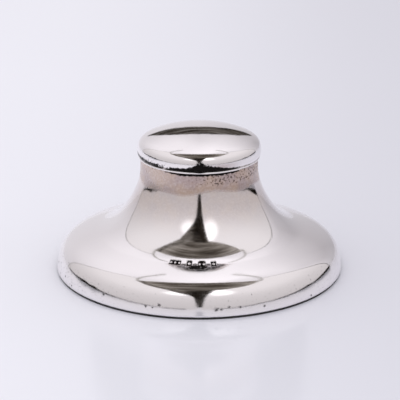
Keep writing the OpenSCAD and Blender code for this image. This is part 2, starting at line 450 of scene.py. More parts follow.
def silver_material(name, finish, polish, specks=()):
    """Sterling silver, raised from sheet and hand polished. To the eye it is a warm white mirror with a faint
    bloom of rubbing scratches; a brown film dulls it where no cloth reaches, and black sulphide stays in its
    pits. The film, black and speckled attributes of the mesh say where. The black attribute also paints shade
    along the front of the lid's edge and a reflection of shade below the body's punch marks, in the sulphide's
    colour."""
    material, tree, surface, place = new_material(name)
    film, black, speckled = (
        add(tree, "ShaderNodeAttribute", attribute_name=stain_name).outputs["Fac"]
        for stain_name in ("film", "black", "speckled")
    )
    noises = {}
    for key, (size, detail, roughness, stretch) in SILVER_NOISES.items():
        mapped = add(tree, "ShaderNodeMapping", {"Vector": place, "Scale": stretch})
        values = {"Vector": mapped, "Scale": per_mm(size), "Detail": detail, "Roughness": roughness}
        noises[key] = add(tree, "ShaderNodeTexNoise", values)

    # the film: cloudy, and broken up by a grain that is as coarse as it has to be to show
    values = {"Value": noises["grain"], "From Min": 0.25, "From Max": 0.62, "To Min": 0.74}
    broken = add(tree, "ShaderNodeMapRange", values, **SMOOTH)
    film = add(tree, "ShaderNodeMath", {0: film, 1: broken}, operation="MULTIPLY")
    values = {"Value": noises["cloud"], "From Min": 0.36, "From Max": 0.66}
    clouded = add(tree, "ShaderNodeMapRange", values, **SMOOTH)
    tan = add(tree, "ShaderNodeMix", {0: clouded, 6: rgba(finish.film), 7: rgba(finish.gold_film)}, **RGBA)
    tone = add(tree, "ShaderNodeMix", {0: film, 6: rgba(finish.silver), 7: tan}, **RGBA)
    # speckles: brown-black dots
    dots = add(tree, "ShaderNodeMath", {0: speckled, 1: 0.26, 2: noises["grain"]}, operation="MULTIPLY_ADD")
    values = {"Value": dots, "From Min": 0.78, "From Max": 0.9, "To Max": 0.8}
    dark = add(tree, "ShaderNodeMapRange", values, **SMOOTH)
    # pits and crevices: black, with a ragged edge; the same black is also painted shade on the lid's front
    # edge and a painted reflection of shade below the punch marks
    edge = add(tree, "ShaderNodeMath", {0: noises["ragged"], 1: 1.1, 2: black}, operation="MULTIPLY_ADD")
    pits_and_shade = add(tree, "ShaderNodeMapRange", {"Value": edge, "From Min": 0.97, "From Max": 1.17}, **SMOOTH)
    present = add(tree, "ShaderNodeMapRange", {"Value": black, "From Min": 0.02, "From Max": 0.2}, **SMOOTH)
    pits_and_shade = add(tree, "ShaderNodeMath", {0: pits_and_shade, 1: present}, operation="MULTIPLY")
    dark = add(tree, "ShaderNodeMath", {0: dark, 1: pits_and_shade}, operation="MAXIMUM")
    for azimuth, radius, height, size in specks:
        spot = direction(azimuth, 0) * radius + (0, 0, height)
        away = add(tree, "ShaderNodeVectorMath", {0: place, 1: spot * MM}, operation="DISTANCE")
        values = {0: noises["grain"], 1: size * 0.9 * MM, 2: away}
        wander = add(tree, "ShaderNodeMath", values, operation="MULTIPLY_ADD")
        values = {"Value": wander, "From Min": size * 0.55 * MM, "From Max": size * 0.95 * MM}
        values.update({"To Min": 0.85, "To Max": 0.0})
        speck = add(tree, "ShaderNodeMapRange", values, **SMOOTH)
        dark = add(tree, "ShaderNodeMath", {0: dark, 1: speck}, operation="MAXIMUM")
    tone = add(tree, "ShaderNodeMix", {0: dark, 6: tone, 7: rgba(finish.sulphide_and_shade)}, **RGBA)

    values = {"Value": noises["bloom"], "From Min": 0.3, "From Max": 0.75}
    values.update({"To Min": polish, "To Max": polish + BLOOM})
    rough = add(tree, "ShaderNodeMapRange", values, **SMOOTH)
    dull = add(tree, "ShaderNodeMapRange", {"Value": film, "From Min": 0.4, "From Max": 0.85, "To Max": 0.3})
    rough = add(tree, "ShaderNodeMath", {0: rough, 1: dull}, operation="ADD")
    rough = add(tree, "ShaderNodeMath", {0: dark, 1: 0.3, 2: rough}, operation="MULTIPLY_ADD")
    # rubbing scratches run round the piece, and the film is crusted where it is speckled
    coarse = add(tree, "ShaderNodeMapRange", {"Value": speckled, "To Min": 0.4, "To Max": 3.6})
    crust = add(tree, "ShaderNodeMath", {0: noises["grain"], 1: coarse}, operation="MULTIPLY")
    relief = add(tree, "ShaderNodeMath", {0: film, 1: crust, 2: noises["rubbing"]}, operation="MULTIPLY_ADD")
    bump = add(tree, "ShaderNodeBump", {"Height": relief, "Strength": 0.12, "Distance": 0.03 * MM})
    fill(tree, surface, {"Base Color": tone, "Metallic": 1, "Roughness": rough, "Normal": bump})
    return material


def brass_material(finish):
    """Drawn brass, never lacquered: a dull yellow-brown metal with the long faint lines of the die."""
    material, tree, surface, place = new_material("drawn_brass")
    lines = add(tree, "ShaderNodeMapping", {"Vector": place, "Scale": (1, 1, 0.03)})
    drawn = add(tree, "ShaderNodeTexNoise", {"Vector": lines, "Scale": per_mm(0.6), "Detail": 3})
    age = add(tree, "ShaderNodeTexNoise", {"Vector": place, "Scale": per_mm(7), "Detail": 4})
    worn = add(tree, "ShaderNodeMapRange", {"Value": age, "From Min": 0.35, "From Max": 0.7, "To Max": 0.6})
    tone = add(tree, "ShaderNodeMix", {0: worn, 6: rgba(finish.brass), 7: rgba(finish.brass, 0.35)}, **RGBA)
    rough = add(tree, "ShaderNodeMapRange", {"Value": age, "To Min": 0.22, "To Max": 0.5})
    bump = add(tree, "ShaderNodeBump", {"Height": drawn, "Strength": 0.3, "Distance": 0.02 * MM})
    fill(tree, surface, {"Base Color": tone, "Metallic": 1, "Roughness": rough, "Normal": bump})
    return material


def leather_material(finish):
    """Skiver, a split sheepskin dyed dark and glued to the base: matt, with fine pebbled cells and a
    slight shine where they touch the table."""
    material, tree, surface, place = new_material("dyed_skiver")
    values = {"Vector": place, "Scale": per_mm(0.9)}
    cells = add(tree, "ShaderNodeTexVoronoi", values, feature="DISTANCE_TO_EDGE")
    mottle = add(tree, "ShaderNodeTexNoise", {"Vector": place, "Scale": per_mm(5), "Detail": 4})
    rubbed = rgba(finish.leather, 2.2)
    tone = add(tree, "ShaderNodeMix", {0: mottle, 6: rgba(finish.leather), 7: rubbed}, **RGBA)
    rough = add(tree, "ShaderNodeMapRange", {"Value": cells, "From Max": 0.12, "To Min": 0.8, "To Max": 0.55})
    crease = add(tree, "ShaderNodeMapRange", {"Value": cells, "From Max": 0.12}, **SMOOTH)
    bump = add(tree, "ShaderNodeBump", {"Height": crease, "Strength": 0.7, "Distance": 0.1 * MM})
    fill(tree, surface, {"Base Color": tone, "Roughness": rough, "Normal": bump})
    return material


def wood_material(finish):
    """Planed beech: pale brown with straight grain and short dark flecks about two millimetres long."""
    material, tree, surface, place = new_material("planed_beech")
    along = add(tree, "ShaderNodeMapping", {"Vector": place, "Scale": (1, 0.12, 1)})
    fleck = add(tree, "ShaderNodeTexNoise", {"Vector": along, "Scale": per_mm(0.5), "Detail": 2})
    ring = add(tree, "ShaderNodeTexNoise", {"Vector": along, "Scale": per_mm(6), "Detail": 3})
    marks = add(tree, "ShaderNodeMapRange", {"Value": fleck, "From Min": 0.55, "From Max": 0.72})
    pale = add(tree, "ShaderNodeMix", {0: ring, 6: rgba(finish.wood), 7: rgba(finish.wood, 0.75)}, **RGBA)
    tone = add(tree, "ShaderNodeMix", {0: marks, 6: pale, 7: rgba(finish.wood_dark)}, **RGBA)
    rough = add(tree, "ShaderNodeMapRange", {"Value": ring, "To Min": 0.5, "To Max": 0.68})
    bump = add(tree, "ShaderNodeBump", {"Height": fleck, "Strength": 0.25, "Distance": 0.05 * MM})
    fill(tree, surface, {"Base Color": tone, "Roughness": rough, "Normal": bump})
    return material


def plaster_material(finish):
    """Cast plaster of Paris: chalky off-white, quite matt, with small bubbles and soft stains."""
    material, tree, surface, place = new_material("cast_plaster")
    bubbles = add(tree, "ShaderNodeTexVoronoi", {"Vector": place, "Scale": per_mm(2.2)})
    holes = add(tree, "ShaderNodeMapRange", {"Value": bubbles, "From Min": 0.08, "From Max": 0.2})
    stains = add(tree, "ShaderNodeTexNoise", {"Vector": place, "Scale": per_mm(9), "Detail": 5})
    damp = rgba(finish.plaster, 0.7)
    tone = add(tree, "ShaderNodeMix", {0: stains, 6: rgba(finish.plaster), 7: damp}, **RGBA)
    rough = add(tree, "ShaderNodeMapRange", {"Value": stains, "To Min": 0.85, "To Max": 0.95})
    bump = add(tree, "ShaderNodeBump", {"Height": holes, "Strength": 0.6, "Distance": 0.2 * MM})
    fill(tree, surface, {"Base Color": tone, "Roughness": rough, "Normal": bump})
    return material


def glass_material(finish):
    """Moulded soda-lime glass: clear, very slightly green, with the faint ripples of a mould."""
    material, tree, surface, place = new_material("moulded_glass")
    flow = add(tree, "ShaderNodeTexNoise", {"Vector": place, "Scale": per_mm(5), "Detail": 1})
    haze = add(tree, "ShaderNodeMapRange", {"Value": flow, "To Min": 0.0, "To Max": 0.06})
    bump = add(tree, "ShaderNodeBump", {"Height": flow, "Strength": 0.15, "Distance": 0.2 * MM})
    fill(tree, surface, {"Base Color": rgba(finish.glass), "Roughness": haze, "Normal": bump})
    fill(tree, surface, {"Transmission Weight": 1, "IOR": 1.52})
    return material


# ---- studio -----------------------------------------------------------------------------------

STAGE_CENTRE = np.array((0, 0, 30.0))


def direction(azimuth, elevation):
    """A unit direction. Azimuth 0 is the camera's side and 90 is +X; both in degrees."""
    a, e = math.radians(azimuth), math.radians(elevation)
    return np.array((math.sin(a) * math.cos(e), -math.cos(a) * math.cos(e), math.sin(e)))


def grey(level, warmth=0.0, pinkness=0.0):
    """A light's linear colour from an sRGB level of 0 to 255, which may pass 255. warmth takes blue away,
    and pinkness takes green away."""
    levels = (level, level - 0.5 * warmth - pinkness, level - warmth)
    return [((max(v, 0) / 255 + 0.055) / 1.055) ** 2.4 for v in levels]


def table_value(table, column, row):
    """A value between those of a table, which is {column: {row: value}}."""
    columns = sorted(table)
    rows = [np.interp(row, sorted(table[c]), [table[c][r] for r in sorted(table[c])]) for c in columns]
    return np.interp(column, columns, rows)


def light_card(name, columns, tone, place, step=2.0, rows=24):
    """A card that only reflections see. columns gives (across, low, high) at points across it; place puts a
    point of it in space, and tone gives its light there."""
    across, lows, highs = (np.array(part, dtype=float) for part in zip(*columns))
    stops = np.unique(np.concatenate((np.arange(across[0], across[-1], step), across)))
    points, tones, faces = [], [], []
    for i, u in enumerate(stops):
        for v in np.linspace(np.interp(u, across, lows), np.interp(u, across, highs), rows + 1):
            points.append(place(u, v))
            tones.append((*tone(u, v), 1))
        if i:
            first = (i - 1) * (rows + 1)
            second = i * (rows + 1)
            faces += [(first + k, second + k, second + k + 1, first + k + 1) for k in range(rows)]
    card = make_object(name, points, faces, smooth=False)
    layer = card.data.color_attributes.new("light", "FLOAT_COLOR", "POINT")
    layer.data.foreach_set("color", np.array(tones, dtype=np.float32).ravel())
    card.data.materials.append(bpy.data.materials["studio_light"])
    for ray in ("camera", "diffuse", "shadow", "transmission"):
        setattr(card, "visible_" + ray, False)
    card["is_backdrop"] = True
    return card


def round_the_inkwell(reach):
    """Places points by azimuth and elevation on a sphere, and never below the table."""

    def place(azimuth, elevation):
        point = STAGE_CENTRE + reach * direction(azimuth, elevation)
        return point[0], point[1], max(point[2], 1)

    return place


def upright(depth):
    """Places points by X and height on an upright plane."""
    return lambda x, height: (x, depth, height)


def ceiling(height):
    """Places points by X and Y on a level plane, as shares of its height."""
    return lambda x, y: (x * height, y * height, height)


# how bright the walls behind and above the cards are, by azimuth and elevation
WALLS = {
    -180: {-12: 226, 0: 224, 20: 216, 30: 214, 40: 216, 50: 224, 60: 244, 70: 258, 90: 252},
    -165: {-12: 226, 0: 222, 20: 218, 30: 224, 40: 234, 50: 243, 60: 246, 70: 252, 90: 250},
    -150: {-12: 222, 0: 222, 20: 220, 30: 229, 40: 241, 50: 246, 60: 248, 70: 250, 90: 250},
    -122: {-12: 200, 0: 208, 20: 215, 30: 225, 40: 234, 50: 244, 60: 236, 70: 228, 90: 250},
    122: {-12: 195, 0: 208, 20: 217, 30: 222, 40: 224, 50: 230, 60: 234, 70: 230, 90: 250},
    135: {-12: 188, 0: 188, 20: 190, 30: 202, 40: 216, 50: 236, 60: 240, 70: 236, 90: 250},
    150: {-12: 188, 0: 178, 20: 180, 30: 198, 40: 218, 50: 240, 60: 254, 70: 258, 90: 252},
    165: {-12: 208, 0: 194, 20: 192, 30: 208, 40: 224, 50: 236, 60: 252, 70: 260, 90: 252},
    180: {-12: 226, 0: 224, 20: 216, 30: 214, 40: 216, 50: 224, 60: 244, 70: 258, 90: 252},
}
# the same for the cards, by elevation alone
CARDS = {-5: 200, 0: 202, 10: 207, 20: 213, 30: 221, 40: 230, 50: 234, 65: 236}


def wall_tone(azimuth, elevation):
    return grey(table_value(WALLS, azimuth, elevation), float(np.interp(elevation, (-10, 20), (-3, 0))), 4)


def card_tone(hot_azimuth, hot_elevation, wide, tall, strength):
    """A grey card that is lit from above, with one soft hot spot."""

    def tone(azimuth, elevation):
        level = float(np.interp(elevation, list(CARDS), list(CARDS.values())))
        away = math.hypot((azimuth - hot_azimuth) / wide, (elevation - hot_elevation) / tall)
        heat = 1 - float(smooth_step(away, 0.55, 1.25))
        return grey(level + strength * heat, 3 * (1 - heat), 2 + (1 - heat))

    return tone


def dark_tone(level, spread, across=30, along=3):
    """A dark, warm tone with streaks of another shade, so long across it and so wide along it: for dark
    cloths, rims and card edges, and for the painted shade strips at the cards' feet.
    """

    def tone(u, v):
        streak = noise.fractal(Vector((u / across, v / along, level * 0.1)), 0.8, 2.1, 4)
        return grey(level + spread * streak, 9)

    return tone


def ceiling_tone(x, y):
    """The unlit ceiling over the cards, with its streaks, and paler towards its ends."""
    streak = noise.fractal(Vector((x * 2.5, y * 26 + 4 * x * x, 3.7)), 0.7, 2.2, 5)
    fine = noise.fractal(Vector((x * 4, y * 60, 9.1)), 0.6, 2.1, 3)
    level = 88 + 62 * float(smooth_step(abs(x), 0.12, 0.5)) + 62 * streak + 24 * fine
    return grey(max(level, 38), 13)


def gap_tone(azimuth, elevation):
    """The dark of the gap between the cards, and the unlit cloth that hangs over the left card's top."""
    streak = noise.fractal(Vector((azimuth / 14, elevation / 1.6, 5.3)), 0.7, 2.2, 4)
    level = 24 + 76 * float(smooth_step(abs(azimuth), 6, 22)) + 56 * streak
    return grey(max(level, 14), 11)


def build_cards():
    """The reflected studio: walls, two grey cards with a gap between them, the ceiling and dark cloths."""
    material = bpy.data.materials.new("studio_light")
    material.use_nodes = True
    tree = material.node_tree
    tree.nodes.clear()
    light = add(tree, "ShaderNodeVertexColor", layer_name="light")
    emission = add(tree, "ShaderNodeEmission", {"Color": light.outputs["Color"]})
    add(tree, "ShaderNodeOutputMaterial", {"Surface": emission})

    walls = [(-180, -12, 90), (180, -12, 90)]
    light_card("stage_walls", walls, wall_tone, round_the_inkwell(850), 3, 40)
    near, behind, front = (round_the_inkwell(reach) for reach in (600, 606, 594))
    left = [(-124, -4, 61.5), (-104, -4, 63.5), (-2, -4, 63.5)]
    right = [(2, -4, 63.5), (104, -4, 63.5), (123, -4, 61.5)]
    light_card("stage_card_left", left, card_tone(-19, 46, 15, 10, 52), near)
    light_card("stage_card_right", right, card_tone(20, 50, 15, 15, 57), near)
    left, right = [(-124.8, -4, 62), (-122, -4, 62)], [(121, -4, 62), (123.9, -4, 62)]
    light_card("stage_card_edge_left", left, dark_tone(120, 25, 8, 8), behind, 1)
    light_card("stage_card_edge_right", right, dark_tone(70, 30, 8, 8), behind, 1)
    gap = [(-106, 61.3, 66), (-88, 62.3, 66), (-71, 61.6, 66), (-56, 60.4, 66), (-40, 58.6, 66)]
    gap += [(-29, 53.5, 66), (-18, 46.5, 66), (-10, 40, 66), (-5.9, 34, 66)]
    gap += [(-4.4, 27, 66), (-3, 14, 66), (-1.8, 1, 66), (2.4, 1, 66), (3.4, 14, 66), (4.8, 28, 66)]
    gap += [(7.4, 41, 66), (11, 50, 66), (15, 57, 66), (20, 63, 66)]
    light_card("stage_gap", gap, gap_tone, front, 0.5, 60)
    # painted shade: dark strips along the cards' feet, where they stand on the table
    shade_left = [(-122, -3, -1.6), (-112, -3, -1.2), (-104, -3, 0.6), (-98, -3, 2.2), (-92, -3, 0.7)]
    shade_left += [(-87, -3, 1.8), (-80, -3, -0.6), (-64, -3, -1.7), (-30, -3, -2.3), (-10, -3, -1.9)]
    shade_right = [(10, -3, -2.3), (50, -3, -2.0), (78, -3, -1.2), (90, -3, 0.4), (98, -3, -0.6)]
    shade_right += [(108, -3, 1.0), (118, -3, 1.7), (124, -3, 1.0)]
    light_card("stage_shade_left", shade_left, dark_tone(22, 20), front, 1, 2)
    light_card("stage_shade_right", shade_right, dark_tone(18, 20), front, 1, 2)

    # the ceiling is a disc that is cut off straight towards the back; its sizes are shares of its height
    radius, cut = 0.51, 0.14
    disc = [(x, -y, min(cut, y)) for x, y in arc((0, 0), radius, 180, 0, 60)]
    light_card("stage_ceiling", disc, ceiling_tone, ceiling(620), 0.05, 90)
    for side, name in ((-1, "left"), (1, "right")):
        rim = sorted((side * azimuth, 61.7, 63.0) for azimuth in (100, 158))
        light_card("stage_rim_" + name, rim, dark_tone(160, 25, 9, 9), front, 2, 2)
    cloth = [(-53, 82, 84), (-50, 83, 112), (-41, 87, 135), (-31, 93, 146), (-20, 101, 153), (0, 106, 157)]
    cloth += [(20, 100, 153), (33, 87, 143), (42, 79, 130), (50, 77, 114), (52, 77, 79)]
    light_card("stage_cloth", cloth, dark_tone(70, 66, 40, 7), upright(120), 2, 40)


class INKWELL_OT_studio(bpy.types.Operator):
    """Sets the table, the reflected studio and the camera"""

    bl_idname = "inkwell.studio"
    bl_label = "Studio"

    def execute(self, context):
        scene = context.scene
        stage = scene.inkwell_stage
        # gloss acrylic, cast and polished: a pale sheet with a faint clear reflection, with painted shade that
        # makes it darker towards +X
        acrylic, tree, surface, place = new_material("gloss_acrylic")
        side = add(tree, "ShaderNodeSeparateXYZ", {"Vector": place})
        values = {"Value": side, "From Min": -0.12, "From Max": 0.12}
        shade = add(tree, "ShaderNodeMapRange", values, **SMOOTH)
        values = {0: shade, 6: rgba(stage.table_lit_side), 7: rgba(stage.table_shaded_side)}
        tone = add(tree, "ShaderNodeMix", values, **RGBA)
        fill(tree, surface, {"Base Color": tone, "Roughness": 0.12, "IOR": 1.36})
        points = [(x, y, 0) for x, y in arc((0, 0), stage.table_radius / MM, 0, 360, 96)[:-1]]
        table = make_object("stage_table", points, [tuple(range(len(points)))], smooth=False)
        table.data.materials.append(acrylic)
        table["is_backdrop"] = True

        world = bpy.data.worlds.new("studio_world")
        scene.world = world
        world.use_nodes = True
        background = world.node_tree.nodes["Background"]
        background.inputs["Color"].default_value = rgba(linear("#fcfdff"))
        background.inputs["Strength"].default_value = 1.03
        build_cards()

        scene.view_settings.view_transform = "Standard"
        camera = bpy.data.cameras.new("camera")
        camera.lens = stage.lens
        camera.sensor_width = 36
        camera.clip_start = 0.01
        eye = bpy.data.objects.new("camera", camera)
        scene.collection.objects.link(eye)
        away = Vector(direction(0, math.degrees(stage.elevation)))
        eye.location = Vector((stage.aim_side, 0, stage.aim_height)) + away * stage.distance
        eye.rotation_euler = (-away).to_track_quat("-Z", "Y").to_euler()
        scene.camera = eye
        return {"FINISHED"}


# ---- pieces -----------------------------------------------------------------------------------

# small plain punch marks, in millimetres: middle along the row and up the slope, half width, half height,
# and how many raised lozenges stand in each; none is a letter or a known mark
PUNCHES = (
    (-9.3, 0.25, 2.4, 1.4, 3),
    (-3.8, 0.15, 1.2, 1.5, 1),
    (-1.6, -0.3, 0.4, 0.4, 0),
    (1.0, -0.1, 1.6, 1.6, 2),
    (5.5, -0.2, 1.2, 1.5, 1),
)
PUNCH_ROW_RADIUS = 41.0
# black specks on the foot: azimuth, radius, height and size
SPECKS = (
    (-20.8, 57.1, 4.0, 1.6),
    (-15.5, 56.9, 5.0, 1.8),
    (-18.0, 57.1, 3.8, 1.2),
    (6.6, 57.1, 4.0, 2.3),
    (8.4, 57.1, 3.9, 1.6),
    (11.4, 57.0, 4.6, 1.6),
    (15.8, 57.1, 4.2, 1.6),
    (25.6, 57.2, 3.3, 1.5),
    (-40.1, 57.0, 4.7, 1.6),
    (48.9, 57.4, 2.0, 1.2),
    (-81.3, 57.0, 4.5, 1.6),
    (-67.4, 57.2, 3.6, 1.3),
    (-74.0, 57.2, 2.6, 1.2),
    (-60.5, 57.3, 2.2, 1.3),
)


def around(x, y):
    """The azimuth of a point in degrees, from the front."""
    return np.degrees(np.arctan2(x, -y))


def well_radius():
    """The inner radius of the well's tube, whose wall is as thick as its floor."""
    return high("well_tube").x - (high("well_floor").z - low("well_floor").z)


def punched(outline, angles, depth):
    """How far the punch marks push the body's skin in."""
    along = lengths_along(outline)
    row = int(np.argmax(outline[:, 0] < PUNCH_ROW_RADIUS))
    up = (along - along[row])[:, None]
    across = PUNCH_ROW_RADIUS * angles[None, :]
    push = np.zeros((len(outline), len(angles)))
    soft = 0.22  # width of a mark's sloping side
    for middle, rise, half_width, half_height, lozenges in PUNCHES:
        u, v = np.abs(across - middle), np.abs(up - rise)
        corner = 0.35 * min(half_width, half_height)
        beyond = u + v - half_width - half_height + corner
        beyond = np.maximum(beyond, np.maximum(u - half_width, v - half_height))
        mark = smooth_step(-beyond, 0, soft)
        for k in range(lozenges):
            centre = middle + (k - (lozenges - 1) / 2) * 2 * half_width / lozenges
            reach_u, reach_v = 0.62 * half_width / lozenges, 0.62 * half_height
            beyond = (np.abs(across - centre) / reach_u + v / reach_v - 1) * min(reach_u, reach_v)
            mark = mark * (1 - smooth_step(-beyond, -0.05, soft - 0.05))
        push -= depth * mark
    return push


class INKWELL_OT_body(bpy.types.Operator):
    """Raises the silver body, with its hand work, its punch marks, its tarnish and a painted reflection of
    shade below the marks
    """

    bl_idname = "inkwell.body"
    bl_label = "Body"

    def execute(self, context):
        shape, finish = context.scene.inkwell_shape, context.scene.inkwell_finish
        outline = body_outline(shape)
        row = lengths_along(outline)[int(np.argmax(outline[:, 0] < PUNCH_ROW_RADIUS))]
        outer = resampled(outline, 0.55, (row - 2.2, row + 2.2))
        section = sheet_section(outer, shape.sheet / MM, shape.edge_round / MM)
        fine = np.radians(np.arange(-18, 11, 0.18))
        coarse = np.radians(np.arange(11, 342, 1.0))
        turns = np.concatenate((fine, coarse))
        turns = np.sort((turns + math.pi) % (2 * math.pi) - math.pi)

        def relief(points, angles):
            push = np.zeros((len(points), len(angles)))
            count = len(outer) - 1
            fade = smooth_step(points[:count, 1:], 1, 4) * (1 - smooth_step(points[:count, 1:], 44, 47))
            push[:count] = hand_work(points[:count], angles, shape) * fade
            push[:count] += punched(points[:count], angles, shape.punch_depth / MM)
            return push

        skin = lathe("body_skin", section, turns, relief=relief)
        marks = np.zeros((len(section), len(turns)))
        marks[: len(outer)] = -punched(outer, turns, 1)

        def film(x, y, z):
            side = around(x, y)
            edge = 36.6 + 0.8 * np.sin(np.radians(3 * side + 40)) + 0.5 * np.sin(np.radians(7 * side))
            front = 1 - smooth_step(np.abs(side - 15), 20, 70)
            thick = smooth_step(z, edge, edge + 2.6) * (0.8 + 0.2 * front)
            return np.maximum(thick, 0.42 * smooth_step(z, 21, 34))

        def black(x, y, z):
            side = around(x, y)
            under_rim = smooth_step(z, 44.4, 46.3) * (0.4 + 0.4 * (1 - smooth_step(np.abs(side - 5), 20, 50)))
            # painted reflection of shade: a dark smear just below the punch marks, where the shadowed
            # underside of the lid and neck is mirrored; under_rim and the marks themselves are sulphide
            painted_reflection_spot = np.hypot((x + 0.6) / 6.2, (np.hypot(x, y) - 43.2) / 1.6)
            smear = 0.7 * (1 - smooth_step(painted_reflection_spot, 0.4, 1.15)) * (y < 0)
            return np.maximum(np.maximum(under_rim, smear), 0.8 * marks.ravel())

        def speckled(x, y, z):
            side = around(x, y)
            neck = smooth_step(z, 40, 42) * (0.35 + 0.65 * smooth_step(side, -25, 15) * (side < 110))
            worst = np.exp(-(((side + 75) / 40) ** 2)) + 0.6 * np.exp(-(((side - 60) / 30) ** 2))
            foot = (0.5 + 0.3 * worst) * (1 - smooth_step(z, 8, 12)) * smooth_step(z, 1, 2)
            return np.maximum(neck, foot)

        stain_and_shade(skin, "film", film)
        stain_and_shade(skin, "black", black)
        stain_and_shade(skin, "speckled", speckled)
        silver = silver_material("sterling_silver_body", finish, finish.polish, SPECKS)
        dress(skin, "base", silver, "silver", "body_shell")
        return {"FINISHED"}


class INKWELL_OT_mouth(bpy.types.Operator):
    """Solders the half-round wire and the collar at the mouth"""

    bl_idname = "inkwell.mouth"
    bl_label = "Mouth rim and collar"

    def execute(self, context):
        shape, finish = context.scene.inkwell_shape, context.scene.inkwell_finish
        radius = shape.wire / MM
        neck_radius = high("well_collar").x + shape.sheet / MM
        middle = (high("mouth_rim").x - radius, high("mouth_rim").z - radius)
        half_round = np.vstack((arc(middle, radius, -86, 86, 16), [(neck_radius - 0.1, middle[1])]))

        def relief(points, angles):
            grid = np.stack((24 * np.sin(angles), -24 * np.cos(angles), 0 * angles), axis=-1)
            worn = 0.05 * soft_noise(grid, 2.3) + 0.05 * soft_noise(grid + 9, 6)
            outer = (points[:, 0] > middle[0] + 0.1)[:, None]
            return np.minimum(worn[None, :], 0.02) * outer

        silver = silver_material("sterling_silver_rim", finish, finish.polish)
        wire = lathe("mouth_wire", half_round, 240, relief=relief)
        dress(wire, "base", silver, "silver", "mouth_rim")
        stain_and_shade(wire, "speckled", lambda x, y, z: 0.55 + 0 * z)

        satin = silver_material("sterling_silver_inside", finish, finish.satin)
        collar = band("collar_ring", "well_collar", well_radius(), 0.2, 160)
        dress(collar, "base", satin, "silver", "well_collar")
        stain_and_shade(collar, "film", lambda x, y, z: 0.35 + 0 * z)
        return {"FINISHED"}


class INKWELL_OT_base(bpy.types.Operator):
    """Finishes the underside: the leather pad, the board, the loading and the foot's wire"""

    bl_idname = "inkwell.base"
    bl_label = "Underside and loading"

    def execute(self, context):
        finish = context.scene.inkwell_finish
        pad = band("leather_pad", "base_pad", 0, 0.15, 240)
        dress(pad, "base", leather_material(finish), "leather", "base_pad")
        hidden = {
            "base_board": wood_material(finish),
            "loading": plaster_material(finish),
            "foot_wire": silver_material("sterling_silver_wire", finish, finish.satin),
        }
        for node, material in hidden.items():
            for slot in frame["nodes"][node].material_slots:
                slot.material = material
        return {"FINISHED"}


class INKWELL_OT_well(bpy.types.Operator):
    """Draws the brass well"""

    bl_idname = "inkwell.well"
    bl_label = "Well"

    def execute(self, context):
        brass = brass_material(context.scene.inkwell_finish)
        tube = band("well_sleeve", "well_tube", well_radius(), 0.15, 128)
        dress(tube, "base", brass, "brass", "well_tube")
        disc = band("well_disc", "well_floor", 0, 0.15, 128)
        dress(disc, "base", brass, "brass", "well_floor")
        return {"FINISHED"}


class INKWELL_OT_liner(bpy.types.Operator):
    """Moulds the glass liner"""

    bl_idname = "inkwell.liner"
    bl_label = "Glass liner"

    def execute(self, context):
        finish = context.scene.inkwell_finish
        a, b, flange_low = low("glass_liner"), high("glass_liner"), high("well_collar").z
        outer, mouth, corner = 16.9, 14, 4  # radii of the pot, its mouth and the bend at its floor
        floor, taper = a.z + 4, 1.2  # the floor is 4 thick, and the pot narrows downwards
        outside = [(0, a.z), (outer - taper, a.z), (outer, flange_low), (b.x, flange_low)]
        outside = rounded([*outside, (b.x, b.z), (mouth, b.z)], 0.45)
        inside = arc((mouth - taper - corner, floor + corner), corner, 0, -90, 10)
        section = np.vstack((outside, inside, [(0, floor)]))
        liner = lathe("glass_pot", section, 160)
        dress(liner, "liner", glass_material(finish), "glass", "glass_liner")
        return {"FINISHED"}


class INKWELL_OT_lid(bpy.types.Operator):
    """Raises the domed lid, with its dents, its tarnished edge and painted shade along the front of that edge
    """

    bl_idname = "inkwell.lid"
    bl_label = "Lid"

    def execute(self, context):
        shape, finish = context.scene.inkwell_shape, context.scene.inkwell_finish
        outer = resampled(lid_outline(shape), 0.3)
        section = sheet_section(outer, shape.sheet / MM, shape.edge_round / MM)
        count = len(outer)

        def relief(points, angles):
            push = np.zeros((len(points), len(angles)))
            fade = smooth_step(points[:count, :1], 1, 6)
            push[:count] = 0.6 * hand_work(points[:count], angles, shape, 9, 2.6) * fade
            return push

        skin = lathe("lid_skin", section, 360, relief=relief)
        edge = low("lid_cap").z

        def black(x, y, z):
            side = around(x, y)
            height = z - edge
            # painted shade: front and tall make a dark band along the front of the lid's lower edge, tallest
            # near the middle; left and round_the_edge are tarnish
            tall = 0.9 + 1.7 * np.exp(-(((side - 6) / 17) ** 2)) + 0.5 * np.exp(-(((side + 24) / 14) ** 2))
            tall += 1.5 * np.exp(-(((side - 1) / 6) ** 2))
            front = 1 - smooth_step(np.abs(side - 2), 18, 62)
            front = front * (1 - smooth_step(height, 0.3 * tall, 1.8 * tall))
            left = 0.68 * smooth_step(-side, 20, 40) * (1 - smooth_step(-side, 110, 140))
            left = left * (1 - smooth_step(height, 0.8, 3.6))
            round_the_edge = 0.5 * (1 - smooth_step(height, 0.15, 0.6))
            outside = np.hypot(x, y) > 22.9
            return np.maximum(np.maximum(0.9 * front, left), round_the_edge) * outside

        def speckled(x, y, z):
            side = around(x, y)
            low_side = 1 - smooth_step(z - edge, 1.5, 5)
            return low_side * np.where(np.abs(side + 50) < 45, 0.75, 0.35)

        def film(x, y, z):
            side = around(x, y)
            smear = 0.6 * np.exp(-(((side - 22) / 16) ** 2)) * (1 - smooth_step(z - edge, 2.2, 3.6))
            return np.maximum(smear, 0.1 * (1 - smooth_step(z - edge, 1, 4)))

        stain_and_shade(skin, "black", black)
        stain_and_shade(skin, "speckled", speckled)
        stain_and_shade(skin, "film", film)
        dot = (158, 15.5, 57, 0.9)
        silver = silver_material("sterling_silver_lid", finish, finish.polish, (dot,))
        dress(skin, "lid", silver, "silver", "lid_cap")
        return {"FINISHED"}


